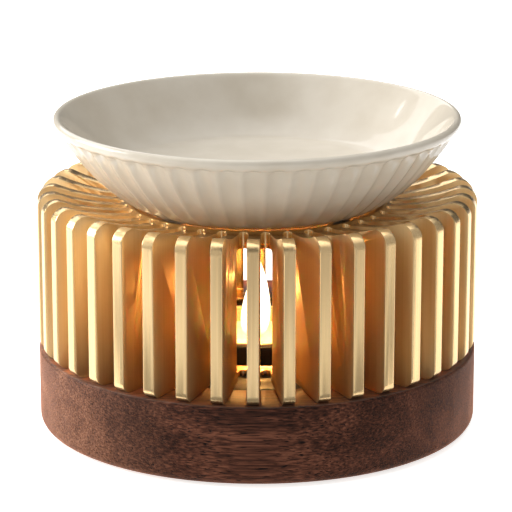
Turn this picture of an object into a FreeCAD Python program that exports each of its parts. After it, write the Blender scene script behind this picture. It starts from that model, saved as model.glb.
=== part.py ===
import FreeCAD, Part
import math
import os

# Wax melt warmer: a ring of aluminium fins on a round walnut base. A tealight in a
# black cup burns inside the ring and warms a ceramic dish that rests on top.
# Millimetres. +Z is up, the origin is the middle of the underside and one of the
# four windows to the flame faces -Y.

V = FreeCAD.Vector
UP = V(0, 0, 1)
ORIGIN = V(0, 0, 0)

# Driving dimensions of the walnut base
BASE_RADIUS = 60.0
WOOD_HEIGHT = 21.35
BASE_BOTTOM_ROUND = 2.5
BASE_TOP_CHAMFER = 0.5
RECESS_MARGIN = 6.7
RECESS_DEPTH = 3.0
WELL_DEPTH = 9.0

# Anti-slip pad under the base
PAD_RADIUS = 48.0
PAD_THICKNESS = 1.5
PAD_SINK = 1.0
PAD_EDGE_CLEARANCE = 0.3

# Fin ring: one extruded and turned piece of aluminium
FIN_COUNT = 40
FIN_THICKNESS = 3.15
FIN_HEIGHT = 43.75
FIN_EDGE_ROUND = 0.35
FIN_TOP_ROUND = 4.0
FIN_BOTTOM_ROUND = 3.0
RIM_FALL_ANGLE = 20.0
BORE_RADIUS = 32.4
GROOVE_RADIUS = 36.0
DIP_RADIUS = 38.3
DIP_DEPTH = 3.7
COLLAR_RADIUS = 35.8
COLLAR_RISE = 0.45
COLLAR_FALL = 0.85
TUBE_LIFT = 1.0
SILL_HEIGHT = 1.5
LINTEL_HEIGHT = 4.65
WINDOW_RADIUS = 39.6
WINDOW_CORNER = 1.0

# Pillars that are left between the windows, each with a lug inside the bore that
# carries the dish. Between the lugs the bore is open for air.
PILLAR_COUNT = 4
PILLAR_HALF_ANGLE = 4.5
FIRST_PILLAR_ANGLE = 45.0
LUG_REACH = 3.4
LUG_ROOT = 0.4
LUG_THICKNESS = 3.0
LUG_HALF_ANGLE = 7.0
SEAT_DEPTH = 1.4

# Sheet steel parts
SHIELD_THICKNESS = 1.0
SHEET_CLEARANCE = 0.3
CUP_RADIUS = 20.6
CUP_WALL = 0.8
CUP_HEIGHT = 16.0
CUP_CORNER = 2.0
CUP_CLEARANCE = 0.5

# Tealight
CANDLE_RADIUS = 19.0
CANDLE_HEIGHT = 15.6
FOIL = 0.4
FOIL_LIP = 0.5
WAX_HEIGHT = 10.6
WAX_CLEARANCE = 0.05
POOL_DEPTH = 0.8
WICK_RADIUS = 0.8
WICK_HEIGHT = 14.2
WICK_CLEARANCE = 0.05
TAB_RADIUS = 6.5
TAB_THICKNESS = 0.4
TAB_NECK_RADIUS = 1.4
TAB_NECK_HEIGHT = 2.5

# Fasteners
SCREW_INSET = 0.9
SCREW_RADIUS = 1.5
SCREW_LENGTH = 28.0
SCREW_HEAD_RADIUS = 2.75
SCREW_HEAD_HEIGHT = 2.0
SOCKET_RADIUS = 1.15
SOCKET_DEPTH = 1.2
SCREW_CLEARANCE = 0.25
THREAD_CLEARANCE = 0.05
THREAD_SPARE = 1.0
COUNTERBORE_RADIUS = 4.0
COUNTERBORE_DEPTH = 4.0
WASHER_RADIUS = 3.5
WASHER_THICKNESS = 0.5
SPACER_RADIUS = 3.2
CUP_SCREW_RADIUS = 1.75
CUP_SCREW_HEAD_RADIUS = 3.5
CUP_SCREW_HEAD_HEIGHT = 1.9
CUP_SCREW_LENGTH = 9.0
CUP_SCREW_POINT = 2.0
SLOT_WIDTH = 0.8
SLOT_DEPTH = 0.7

# Ceramic dish
DISH_RADIUS = 55.3
DISH_HEIGHT = 24.85
DISH_PLAY = 0.7
FOOT_WIDTH = 3.2
FOOT_ROUND = 0.6
FOOT_HOLLOW = 4.8
FLOOR_THICKNESS = 4.6
LIP_THICKNESS = 2.4
BAND_HEIGHT = 3.4
BAND_REACH = 1.55
BAND_BULGE = 0.25
# The outside of the bowl leaves the foot and meets the band at these slopes in
# degrees, and runs along each of them for this share of the wall's reach
FOOT_SLOPE = 15.6
FOOT_RUN_SHARE = 0.413
BAND_SLOPE = 60.5
BAND_RUN_SHARE = 0.372
# The inside leaves the flat floor and meets the lip in the same way
FLOOR_REACH_SHARE = 0.263
FLOOR_RUN_SHARE = 0.227
LIP_SLOPE = 50.0
LIP_RUN_SHARE = 0.386
FLUTE_COUNT = 52
FLUTE_DEPTH = 0.8
FLUTE_STATIONS = 14
# The flutes fade in over this share of the wall above the foot and below the band
FOOT_FADE_SHARE = 0.25
BAND_FADE_SHARE = 0.08

# One overrun for every cut
OVERRUN = 1.0

# Heights worked out from the driving dimensions
WOOD_BOTTOM = PAD_THICKNESS - PAD_SINK
WOOD_TOP = WOOD_BOTTOM + WOOD_HEIGHT
PAD_SEAT = WOOD_BOTTOM + PAD_SINK
RECESS_FLOOR = WOOD_TOP - RECESS_DEPTH
WELL_FLOOR = RECESS_FLOOR - WELL_DEPTH
SHIELD_TOP = RECESS_FLOOR + SHIELD_THICKNESS
TUBE_BOTTOM = WOOD_TOP + TUBE_LIFT
FIN_TOP = WOOD_TOP + FIN_HEIGHT
DIP_TOP = FIN_TOP - DIP_DEPTH
COLLAR_TOP = DIP_TOP + COLLAR_RISE
SEAT_TOP = COLLAR_TOP - SEAT_DEPTH
WINDOW_BOTTOM = TUBE_BOTTOM + SILL_HEIGHT
WINDOW_TOP = COLLAR_TOP - LINTEL_HEIGHT
CUP_FLOOR = WELL_FLOOR + CUP_WALL
DISH_FOOT_RADIUS = BORE_RADIUS - DISH_PLAY
SCREW_CIRCLE = GROOVE_RADIUS - SCREW_INSET
WELL_RADIUS = CUP_RADIUS + CUP_CLEARANCE
# The recess has room round the spacers, and the fins end flush with the base
RECESS_RADIUS = SCREW_CIRCLE + SPACER_RADIUS + RECESS_MARGIN
FIN_RADIUS = BASE_RADIUS


def radial(radius, angle, z=0.0):
    """The point at a radius and an angle in degrees about the axis."""
    turn = math.radians(angle)
    return V(radius * math.cos(turn), radius * math.sin(turn), z)


def line(start, end):
    return Part.LineSegment(start, end).toShape()


def arc(start, middle, end):
    return Part.Arc(start, middle, end).toShape()


def corner(centre, radius, first, last):
    """An arc in the XZ plane about a centre, from one angle in degrees to another."""
    points = []
    for angle in (first, (first + last) / 2, last):
        turn = math.radians(angle)
        points.append(centre + V(radius * math.cos(turn), 0, radius * math.sin(turn)))
    return Part.Arc(*points).toShape()


def outline(items):
    """Join points and arcs, in order, into closed edges with straight runs between."""
    edges = []
    last = None
    first = None
    for item in items:
        if isinstance(item, FreeCAD.Vector):
            start, end = item, item
        else:
            start, end = item.Vertexes[0].Point, item.Vertexes[-1].Point
        if last is not None and last.distanceToPoint(start) > Part.Precision.confusion():
            edges.append(line(last, start))
        if not isinstance(item, FreeCAD.Vector):
            edges.append(item)
        if first is None:
            first = start
        last = end
    if last.distanceToPoint(first) > Part.Precision.confusion():
        edges.append(line(last, first))
    return Part.Wire(edges)


def turned(items):
    """A solid of revolution about Z from an outline in the XZ plane."""
    return Part.Face(outline(items)).revolve(ORIGIN, UP, 360)


def disc(radius, bottom, top, x=0.0, y=0.0):
    return Part.makeCylinder(radius, top - bottom, V(x, y, bottom))


def tube(outer, inner, bottom, top):
    return disc(outer, bottom, top).cut(disc(inner, bottom - OVERRUN, top + OVERRUN))


def ring_of(shape, count, first_angle=0.0):
    """Copies of a shape turned about Z, evenly spaced."""
    copies = []
    for index in range(count):
        copy = shape.copy()
        copy.rotate(ORIGIN, UP, first_angle + index * 360 / count)
        copies.append(copy)
    return copies


def at_pillars(shape):
    """Copies of a shape that lies on the X axis, one at each pillar."""
    return ring_of(shape, PILLAR_COUNT, FIRST_PILLAR_ANGLE)


def save(name, shape):
    """Write one node and print what it holds."""
    solids = shape.Solids
    shape = solids[0] if len(solids) == 1 else Part.Compound(solids)
    shape.exportStep("parts/" + name + ".step")
    box = shape.BoundBox
    print(name, "solids", len(solids), "valid", shape.isValid(), "volume", round(shape.Volume, 1),
          "z", round(box.ZMin, 2), round(box.ZMax, 2))


# Walnut base

def make_wood_base():
    bottom_centre = V(BASE_RADIUS - BASE_BOTTOM_ROUND, 0, WOOD_BOTTOM + BASE_BOTTOM_ROUND)
    body = turned([
        V(0, 0, PAD_SEAT),
        V(PAD_RADIUS + PAD_EDGE_CLEARANCE, 0, PAD_SEAT),
        V(PAD_RADIUS + PAD_EDGE_CLEARANCE, 0, WOOD_BOTTOM),
        corner(bottom_centre, BASE_BOTTOM_ROUND, -90, 0),
        V(BASE_RADIUS, 0, WOOD_TOP - BASE_TOP_CHAMFER),
        V(BASE_RADIUS - BASE_TOP_CHAMFER, 0, WOOD_TOP),
        V(RECESS_RADIUS, 0, WOOD_TOP),
        V(RECESS_RADIUS, 0, RECESS_FLOOR),
        V(WELL_RADIUS, 0, RECESS_FLOOR),
        V(WELL_RADIUS, 0, WELL_FLOOR),
        V(0, 0, WELL_FLOOR),
    ])
    cuts = [cup_screw_shape(THREAD_CLEARANCE)]
    counterbore = disc(COUNTERBORE_RADIUS, PAD_SEAT - OVERRUN, PAD_SEAT + COUNTERBORE_DEPTH, SCREW_CIRCLE)
    hole = disc(SCREW_RADIUS + SCREW_CLEARANCE, PAD_SEAT, RECESS_FLOOR + OVERRUN, SCREW_CIRCLE)
    cuts += at_pillars(counterbore) + at_pillars(hole)
    return body.cut(cuts)


def make_base_pad():
    return disc(PAD_RADIUS, 0, PAD_THICKNESS)


# Black steel shield in the recess and cup in the well

def make_heat_shield():
    plate = tube(RECESS_RADIUS - SHEET_CLEARANCE, WELL_RADIUS, RECESS_FLOOR, SHIELD_TOP)
    hole = disc(SCREW_RADIUS + SCREW_CLEARANCE, RECESS_FLOOR - OVERRUN, SHIELD_TOP + OVERRUN, SCREW_CIRCLE)
    return plate.cut(at_pillars(hole))


def make_candle_cup():
    top = WELL_FLOOR + CUP_HEIGHT
    inner = CUP_RADIUS - CUP_WALL
    centre = V(CUP_RADIUS - CUP_CORNER, 0, WELL_FLOOR + CUP_CORNER)
    rim = V(CUP_RADIUS - CUP_WALL / 2, 0, top - CUP_WALL / 2)
    cup = turned([
        V(0, 0, WELL_FLOOR),
        corner(centre, CUP_CORNER, -90, 0),
        corner(rim, CUP_WALL / 2, 0, 180),
        V(inner, 0, centre.z),
        corner(centre, CUP_CORNER - CUP_WALL, 0, -90),
        V(0, 0, CUP_FLOOR),
    ])
    return cup.cut(cup_screw_shape(THREAD_CLEARANCE))


def cup_screw_shape(grow=0.0):
    """The countersunk screw, or with a little growth the hole that it leaves."""
    shank = CUP_SCREW_RADIUS + grow
    head = CUP_SCREW_HEAD_RADIUS + grow
    neck = CUP_FLOOR - CUP_SCREW_HEAD_HEIGHT
    tip = CUP_FLOOR - CUP_SCREW_LENGTH
    return turned([
        V(0, 0, tip - grow),
        V(shank, 0, tip - grow + CUP_SCREW_POINT),
        V(shank, 0, neck),
        V(head, 0, CUP_FLOOR),
        V(0, 0, CUP_FLOOR),
    ])


def make_cup_screw():
    slot = Part.makeBox(2 * CUP_SCREW_HEAD_RADIUS, SLOT_WIDTH, SLOT_DEPTH + OVERRUN)
    slot.translate(V(-CUP_SCREW_HEAD_RADIUS, -SLOT_WIDTH / 2, CUP_FLOOR - SLOT_DEPTH))
    return cup_screw_shape().cut(slot)


# Screws that hold the fin ring to the base

def make_body_screws():
    seat = PAD_SEAT + COUNTERBORE_DEPTH - WASHER_THICKNESS
    head = disc(SCREW_HEAD_RADIUS, seat - SCREW_HEAD_HEIGHT, seat)
    shank = disc(SCREW_RADIUS, seat, seat + SCREW_LENGTH)
    angles = [60 * side for side in range(7)]
    socket_wire = Part.makePolygon([radial(SOCKET_RADIUS, angle, seat - SCREW_HEAD_HEIGHT) for angle in angles])
    socket = Part.Face(socket_wire).extrude(UP * SOCKET_DEPTH)
    screw = head.fuse(shank).cut(socket).removeSplitter()
    screw.translate(V(SCREW_CIRCLE, 0, 0))
    return Part.Compound(at_pillars(screw))


def make_body_washers():
    top = PAD_SEAT + COUNTERBORE_DEPTH
    washer = tube(WASHER_RADIUS, SCREW_RADIUS + SCREW_CLEARANCE, top - WASHER_THICKNESS, top)
    washer.translate(V(SCREW_CIRCLE, 0, 0))
    return Part.Compound(at_pillars(washer))


def make_body_spacers():
    spacer = tube(SPACER_RADIUS, SCREW_RADIUS + SCREW_CLEARANCE, SHIELD_TOP, TUBE_BOTTOM)
    spacer.translate(V(SCREW_CIRCLE, 0, 0))
    return Part.Compound(at_pillars(spacer))


# Fin ring

PITCH = 360 / FIN_COUNT
HALF_PITCH = math.radians(PITCH / 2)
# A groove's bottom is a half round that meets both of its fins
GROOVE_ROUND = ((GROOVE_RADIUS - FIN_THICKNESS / 2 / math.sin(HALF_PITCH))
                / (1 / math.sin(HALF_PITCH) - 1))
# How far out along the fin its flat side starts
FIN_ROOT = (GROOVE_RADIUS + GROOVE_ROUND) * math.cos(HALF_PITCH)


def fin_section():
    """The star-shaped section of the extrusion, with fin 0 pointing to -Y."""
    half = FIN_THICKNESS / 2
    edges = []
    previous = None
    first = None
    for index in range(FIN_COUNT):
        angle = index * PITCH - 90
        out = radial(1, angle)
        side = radial(1, angle + 90)
        tip = math.sqrt(FIN_RADIUS ** 2 - half ** 2)
        corner_start = tip - FIN_EDGE_ROUND
        inset = half - FIN_EDGE_ROUND
        right_root = out * FIN_ROOT - side * half
        right_side = out * corner_start - side * half
        right_tip = out * math.sqrt(FIN_RADIUS ** 2 - inset ** 2) - side * inset
        left_tip = out * math.sqrt(FIN_RADIUS ** 2 - inset ** 2) + side * inset
        left_side = out * corner_start + side * half
        left_root = out * FIN_ROOT + side * half
        if previous is not None:
            edges.append(arc(previous, radial(GROOVE_RADIUS, angle - PITCH / 2), right_root))
        bulge = FIN_EDGE_ROUND * (1 - math.sqrt(0.5))
        right_mid = out * (corner_start + FIN_EDGE_ROUND - bulge) - side * (half - bulge)
        left_mid = out * (corner_start + FIN_EDGE_ROUND - bulge) + side * (half - bulge)
        edges.append(line(right_root, right_side))
        edges.append(arc(right_side, right_mid, right_tip))
        edges.append(arc(right_tip, out * FIN_RADIUS, left_tip))
        edges.append(arc(left_tip, left_mid, left_side))
        edges.append(line(left_side, left_root))
        if first is None:
            first = right_root
        previous = left_root
    edges.append(arc(previous, radial(GROOVE_RADIUS, -90 - PITCH / 2), first))
    return Part.Face(Part.Wire(edges))


def ring_outline():
    """The turned outline of the ring: bore, foot, rounded rim, hollow top and collar."""
    top_centre = V(FIN_RADIUS - FIN_TOP_ROUND, 0, FIN_TOP - FIN_TOP_ROUND)
    rim = corner(top_centre, FIN_TOP_ROUND, 0, 90 + RIM_FALL_ANGLE)
    rim_end = rim.Vertexes[-1].Point
    dip = V(DIP_RADIUS, 0, DIP_TOP)
    run = dip - rim_end
    fall = math.radians(RIM_FALL_ANGLE) - math.atan2(-run.z, -run.x)
    hollow = run.Length / 2 * math.tan(fall / 2)
    sag = V(run.z, 0, -run.x).normalize() * hollow
    sag = sag if sag.z < 0 else -sag
    top = arc(rim_end, (rim_end + dip) / 2 + sag, dip)
    collar = V(COLLAR_RADIUS, 0, COLLAR_TOP)
    rise = collar - dip
    fillet_middle = (dip + collar) / 2 + V(-rise.z, 0, rise.x).normalize() * (rise.Length / 8)
    fillet = arc(dip, fillet_middle, collar)
    foot_centre = V(FIN_RADIUS - FIN_BOTTOM_ROUND, 0, WOOD_TOP + FIN_BOTTOM_ROUND)
    foot = corner(foot_centre, FIN_BOTTOM_ROUND, -90, 0)
    relief = max(FIN_ROOT, SCREW_CIRCLE + SPACER_RADIUS) + SHEET_CLEARANCE
    return [
        V(BORE_RADIUS, 0, TUBE_BOTTOM),
        V(relief, 0, TUBE_BOTTOM),
        V(relief, 0, WOOD_TOP),
        foot,
        rim,
        top,
        fillet,
        V(BORE_RADIUS, 0, COLLAR_TOP - COLLAR_FALL),
    ]


def window_cutters():
    """What is milled out of the tube wall, so that the fins stand free between pillars."""
    reach = WINDOW_RADIUS - WINDOW_CORNER
    profile = outline([
        V(BORE_RADIUS - OVERRUN, 0, WINDOW_BOTTOM),
        corner(V(reach, 0, WINDOW_BOTTOM + WINDOW_CORNER), WINDOW_CORNER, -90, 0),
        corner(V(reach, 0, WINDOW_TOP - WINDOW_CORNER), WINDOW_CORNER, 0, 90),
        V(BORE_RADIUS - OVERRUN, 0, WINDOW_TOP),
    ])
    angle = 360 / PILLAR_COUNT - 2 * PILLAR_HALF_ANGLE
    window = Part.Face(profile).revolve(ORIGIN, UP, angle)
    return ring_of(window, PILLAR_COUNT, FIRST_PILLAR_ANGLE + PILLAR_HALF_ANGLE)


def seat_lug():
    """One lug on the X axis that reaches from the tube wall into the bore."""
    inner = BORE_RADIUS - LUG_REACH
    outer = BORE_RADIUS + LUG_ROOT
    low = SEAT_TOP - LUG_THICKNESS
    edges = [
        arc(radial(inner, -LUG_HALF_ANGLE, low), radial(inner, 0, low), radial(inner, LUG_HALF_ANGLE, low)),
        line(radial(inner, LUG_HALF_ANGLE, low), radial(outer, LUG_HALF_ANGLE, low)),
        arc(radial(outer, LUG_HALF_ANGLE, low), radial(outer, 0, low), radial(outer, -LUG_HALF_ANGLE, low)),
        line(radial(outer, -LUG_HALF_ANGLE, low), radial(inner, -LUG_HALF_ANGLE, low)),
    ]
    return Part.Face(Part.Wire(edges)).extrude(UP * LUG_THICKNESS)


def make_fin_ring():
    star = fin_section().extrude(UP * (FIN_HEIGHT + 2 * OVERRUN))
    star.translate(V(0, 0, WOOD_TOP - OVERRUN))
    ring = star.common(turned(ring_outline()))
    thread_end = PAD_SEAT + COUNTERBORE_DEPTH - WASHER_THICKNESS + SCREW_LENGTH + THREAD_SPARE
    hole = disc(SCREW_RADIUS + THREAD_CLEARANCE, TUBE_BOTTOM - OVERRUN, thread_end, SCREW_CIRCLE)
    ring = ring.fuse(at_pillars(seat_lug()))
    return ring.cut(at_pillars(hole) + window_cutters())


# Tealight

def make_tealight_shell():
    bottom = CUP_FLOOR
    top = bottom + CANDLE_HEIGHT
    inner = CANDLE_RADIUS - FOIL
    lip = V(CANDLE_RADIUS - FOIL_LIP, 0, top - FOIL_LIP)
    return turned([
        V(0, 0, bottom),
        V(CANDLE_RADIUS - FOIL, 0, bottom),
        V(CANDLE_RADIUS, 0, bottom + FOIL),
        corner(lip, FOIL_LIP, 0, 180),
        V(inner - FOIL_LIP, 0, top - 2 * FOIL_LIP),
        V(inner, 0, top - 3 * FOIL_LIP),
        V(inner, 0, bottom + 2 * FOIL),
        V(inner - FOIL, 0, bottom + FOIL),
        V(0, 0, bottom + FOIL),
    ])


def make_tealight_wax():
    bottom = CUP_FLOOR + FOIL
    top = bottom + WAX_HEIGHT
    edge = CANDLE_RADIUS - FOIL - WAX_CLEARANCE
    pool = arc(V(edge, 0, top), V(edge / 2, 0, top - POOL_DEPTH * 3 / 4), V(0, 0, top - POOL_DEPTH))
    wax = turned([V(0, 0, bottom), V(edge - FOIL, 0, bottom), V(edge, 0, bottom + FOIL), pool])
    hole = disc(WICK_RADIUS + WICK_CLEARANCE, bottom - OVERRUN, top + OVERRUN)
    return wax.cut([hole, wick_tab_shape(WICK_CLEARANCE)])


def make_tealight_wick():
    bottom = CUP_FLOOR + FOIL + TAB_THICKNESS
    wick = disc(WICK_RADIUS, bottom, bottom + WICK_HEIGHT)
    top_edges = [e for e in wick.Edges if e.BoundBox.ZMin > bottom + WICK_HEIGHT / 2]
    return wick.makeFillet(WICK_RADIUS / 2, top_edges)


def wick_tab_shape(grow=0.0):
    """The steel foot of the wick: a disc with a neck that is crimped round the wick."""
    bottom = CUP_FLOOR + FOIL
    return turned([
        V(0, 0, bottom),
        V(TAB_RADIUS + grow, 0, bottom),
        V(TAB_RADIUS + grow, 0, bottom + TAB_THICKNESS + grow),
        V(TAB_NECK_RADIUS + grow, 0, bottom + TAB_THICKNESS + grow),
        V(TAB_NECK_RADIUS + grow, 0, bottom + TAB_NECK_HEIGHT + grow),
        V(0, 0, bottom + TAB_NECK_HEIGHT + grow),
    ])


def make_wick_tab():
    bottom = CUP_FLOOR + FOIL + TAB_THICKNESS
    hole = disc(WICK_RADIUS + WICK_CLEARANCE, bottom, bottom + TAB_NECK_HEIGHT)
    return wick_tab_shape().cut(hole)


# Ceramic dish

DISH_TOP = SEAT_TOP + DISH_HEIGHT
BAND_BOTTOM = DISH_TOP - BAND_HEIGHT
WALL_RADIUS = DISH_RADIUS - BAND_REACH
WALL_REACH = WALL_RADIUS - DISH_FOOT_RADIUS
FOOT_RUN = FOOT_RUN_SHARE * WALL_REACH
BAND_RUN = BAND_RUN_SHARE * WALL_REACH
FLOOR_REACH = FLOOR_REACH_SHARE * WALL_REACH
FLOOR_RUN = FLOOR_RUN_SHARE * WALL_REACH
LIP_RUN = LIP_RUN_SHARE * WALL_REACH
DISH_FLOOR = SEAT_TOP + FOOT_HOLLOW + FLOOR_THICKNESS
LIP_ROUND = LIP_THICKNESS / 2
LIP_CENTRE = V(DISH_RADIUS - LIP_ROUND, 0, DISH_TOP - LIP_ROUND)


def along(angle, length):
    """A step in the XZ plane at an angle in degrees above the X axis."""
    return radial(length, angle).x * V(1, 0, 0) + radial(length, angle).y * UP


def bend(start, start_step, end_step, end):
    """A smooth curve that leaves its start and meets its end along the given steps."""
    curve = Part.BezierCurve()
    curve.setPoles([start, start + start_step, end - end_step, end])
    return curve


def fluted_ring(radius, depth, z):
    """A closed wire of shallow hollows that meet in ridges at the radius."""
    step = 360 / FLUTE_COUNT
    edges = []
    for index in range(FLUTE_COUNT):
        start = (index - 0.5) * step - 90
        edges.append(arc(radial(radius, start, z), radial(radius - depth, start + step / 2, z),
                         radial(radius, start + step, z)))
    return Part.Wire(edges)


def fluted_wall():
    """The outside of the bowl, from its foot to the plain band under the rim."""
    low = V(DISH_FOOT_RADIUS, 0, SEAT_TOP + FOOT_ROUND)
    high = V(WALL_RADIUS, 0, BAND_BOTTOM)
    curve = bend(low, along(FOOT_SLOPE, FOOT_RUN), along(BAND_SLOPE, BAND_RUN), high)
    sections = [fluted_ring(DISH_FOOT_RADIUS - FOOT_ROUND, 0, SEAT_TOP)]
    for station in range(FLUTE_STATIONS + 1):
        share = station / FLUTE_STATIONS
        fade = min(1, share / FOOT_FADE_SHARE, (1 - share) / BAND_FADE_SHARE)
        point = curve.value(share)
        sections.append(fluted_ring(point.x, FLUTE_DEPTH * fade, point.z))
    return Part.makeLoft(sections, True, True)


def rim_band():
    """The plain band: it bulges out past the flutes and ends in a rounded lip."""
    low = V(WALL_RADIUS, 0, BAND_BOTTOM)
    lip = corner(LIP_CENTRE, LIP_ROUND, 0, 90)
    high = lip.Vertexes[0].Point
    run = high - low
    bulge = V(run.z, 0, -run.x).normalize() * BAND_BULGE
    return turned([
        V(0, 0, BAND_BOTTOM),
        arc(low, (low + high) / 2 + bulge, high),
        lip,
        V(0, 0, DISH_TOP),
    ])


def make_wax_dish():
    body = fluted_wall().fuse(rim_band())
    return body.cut([dish_hollow(), dish_underside()])


def dish_hollow():
    """The smooth inside of the bowl: flat floor, soft corner, flaring wall and lip."""
    lip = corner(LIP_CENTRE, LIP_ROUND, 90 + LIP_SLOPE, 90)
    floor_edge = V(DISH_FOOT_RADIUS + FLOOR_REACH, 0, DISH_FLOOR)
    wall = bend(floor_edge, along(0, FLOOR_RUN), along(LIP_SLOPE, LIP_RUN), lip.Vertexes[0].Point)
    above = DISH_TOP + OVERRUN
    return turned([
        V(0, 0, DISH_FLOOR),
        wall.toShape(),
        lip,
        V(LIP_CENTRE.x, 0, above),
        V(0, 0, above),
    ])


def dish_underside():
    """The hollow inside the foot ring."""
    inner = DISH_FOOT_RADIUS - FOOT_WIDTH
    return turned([
        V(0, 0, SEAT_TOP - OVERRUN),
        V(inner + FOOT_ROUND, 0, SEAT_TOP - OVERRUN),
        V(inner + FOOT_ROUND, 0, SEAT_TOP),
        V(inner, 0, SEAT_TOP + FOOT_ROUND),
        V(inner - FOOT_ROUND, 0, SEAT_TOP + FOOT_HOLLOW),
        V(0, 0, SEAT_TOP + FOOT_HOLLOW),
    ])


def main():
    os.makedirs("parts", exist_ok=True)
    save("wood_base", make_wood_base())
    save("base_pad", make_base_pad())
    save("heat_shield", make_heat_shield())
    save("candle_cup", make_candle_cup())
    save("cup_screw", make_cup_screw())
    save("body_screws", make_body_screws())
    save("body_washers", make_body_washers())
    save("body_spacers", make_body_spacers())
    save("fin_ring", make_fin_ring())
    save("tealight_shell", make_tealight_shell())
    save("tealight_wax", make_tealight_wax())
    save("tealight_wick", make_tealight_wick())
    save("wick_tab", make_wick_tab())
    save("wax_dish", make_wax_dish())


main()
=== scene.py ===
# %% [markdown]
# # A wax melt warmer
#
# The real object is a ring of aluminium fins on a turned walnut base. A tealight
# burns in a black steel cup inside the ring, and its heat rises to a ribbed ceramic
# dish on top, in which scented wax melts. This lesson dresses the engineering model
# of that object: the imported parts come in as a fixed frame, and each piece here is
# shaped and finished over the part that it stands for.

# %% Load the frame
import math

import bmesh
import bpy
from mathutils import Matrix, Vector


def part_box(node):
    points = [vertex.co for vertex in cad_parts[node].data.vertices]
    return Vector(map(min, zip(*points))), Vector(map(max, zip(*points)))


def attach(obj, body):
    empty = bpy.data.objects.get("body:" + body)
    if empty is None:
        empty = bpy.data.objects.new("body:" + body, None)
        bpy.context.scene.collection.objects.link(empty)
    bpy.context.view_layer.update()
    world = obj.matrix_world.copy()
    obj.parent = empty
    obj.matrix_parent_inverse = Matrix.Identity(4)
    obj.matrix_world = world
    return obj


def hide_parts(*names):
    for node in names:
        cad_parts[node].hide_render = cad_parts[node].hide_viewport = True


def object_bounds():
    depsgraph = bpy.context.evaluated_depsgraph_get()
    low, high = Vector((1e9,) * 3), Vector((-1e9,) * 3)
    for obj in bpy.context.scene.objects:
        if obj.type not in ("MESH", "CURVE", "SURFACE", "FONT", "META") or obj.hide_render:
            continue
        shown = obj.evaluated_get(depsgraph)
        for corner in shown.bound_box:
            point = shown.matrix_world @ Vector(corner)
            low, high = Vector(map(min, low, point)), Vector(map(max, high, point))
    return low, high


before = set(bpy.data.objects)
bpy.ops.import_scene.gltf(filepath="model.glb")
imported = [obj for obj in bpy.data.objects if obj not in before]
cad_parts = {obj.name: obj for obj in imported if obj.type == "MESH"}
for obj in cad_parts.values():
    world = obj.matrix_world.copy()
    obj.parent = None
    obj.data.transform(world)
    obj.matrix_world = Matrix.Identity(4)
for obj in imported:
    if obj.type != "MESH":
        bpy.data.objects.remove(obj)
cad_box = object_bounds()

MM = 0.001
TURN = 2 * math.pi

# %% [markdown]
# ## The photographer's view
#
# The photograph was taken with a long lens, a little above the object. The camera
# here stands at that distance and angle, aimed at the middle of the object's height.
# A long lens keeps upright lines nearly parallel, which is why the fins do not lean.

# %% Camera
CAMERA_DISTANCE = 781.3 * MM
CAMERA_ELEVATION = math.radians(15.53)
CAMERA_AZIMUTH = math.radians(1.01)
CAMERA_TARGET = Vector((0, 0, 45.7 * MM))
SENSOR_WIDTH = 36.0
FOCAL_LENGTH = 200.2
SHIFT_RIGHT = -0.00215


def from_angles(azimuth, elevation, distance):
    """The place that lies at a distance in a direction: azimuth 0 is in front, at -Y."""
    flat = distance * math.cos(elevation)
    return Vector((flat * math.sin(azimuth), -flat * math.cos(azimuth),
                   distance * math.sin(elevation)))


def aim(thing, place, target):
    """Puts a camera or lamp at a place and turns it to face a target."""
    thing.location = place
    thing.rotation_euler = (target - place).to_track_quat("-Z", "Y").to_euler()


scene = bpy.context.scene
bpy.ops.object.select_all(action="DESELECT")
bpy.ops.object.camera_add()
camera = bpy.context.active_object
camera.name = "photographer"
camera.data.sensor_width = SENSOR_WIDTH
camera.data.lens = FOCAL_LENGTH
camera.data.shift_x = SHIFT_RIGHT
camera.data.clip_start = 10 * MM
aim(camera, CAMERA_TARGET + from_angles(CAMERA_AZIMUTH, CAMERA_ELEVATION, CAMERA_DISTANCE),
    CAMERA_TARGET)
scene.camera = camera
print("camera:", round(camera.data.lens, 1), "mm lens at",
      [round(value, 3) for value in camera.location], "m")

# %% [markdown]
# ## Colours and nodes
#
# Colours are noted as they are seen on a screen, in sRGB, and one function turns them
# into the linear values that light is worked out with. One more function adds a
# shader node with its settings and links, so that each material reads as a short list.
# Patterns lie on the piece's own coordinates and are scaled to a real size.

# %% Helpers for materials
BLACK = "#000000"
WHITE = "#FFFFFF"
# The sockets of a Mix node that mixes colours
MIX_FACTOR, MIX_A, MIX_B, MIX_RESULT = 0, 6, 7, 2


def colour(code, alpha=1.0):
    """An sRGB hex colour as linear red, green, blue and alpha."""
    values = []
    for start in (1, 3, 5):
        share = int(code[start:start + 2], 16) / 255
        values.append(share / 12.92 if share <= 0.04045 else ((share + 0.055) / 1.055) ** 2.4)
    return (*values, alpha)


def fill(tree, node, inputs):
    """Gives a node's inputs plain values, or links from other nodes' outputs."""
    for name, value in inputs.items():
        if isinstance(value, bpy.types.NodeSocket):
            tree.links.new(value, node.inputs[name])
        else:
            node.inputs[name].default_value = value


def add(tree, kind, inputs=None, **settings):
    """Adds a node with its settings, its values and its links."""
    made = tree.nodes.new(kind)
    for name, value in settings.items():
        setattr(made, name, value)
    fill(tree, made, inputs or {})
    return made


def ramp_stops(ramp, stops):
    """Sets a colour ramp's stops from pairs of a share and a hex colour."""
    elements = ramp.color_ramp.elements
    while len(elements) < len(stops):
        elements.new(1.0)
    for element, (share, code) in zip(elements, stops):
        element.position = share
        element.color = colour(code)


def pattern_scale(*sizes):
    """The scale at which a pattern's features measure the sizes along x, y and z."""
    return [1 / size for size in sizes]


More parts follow.
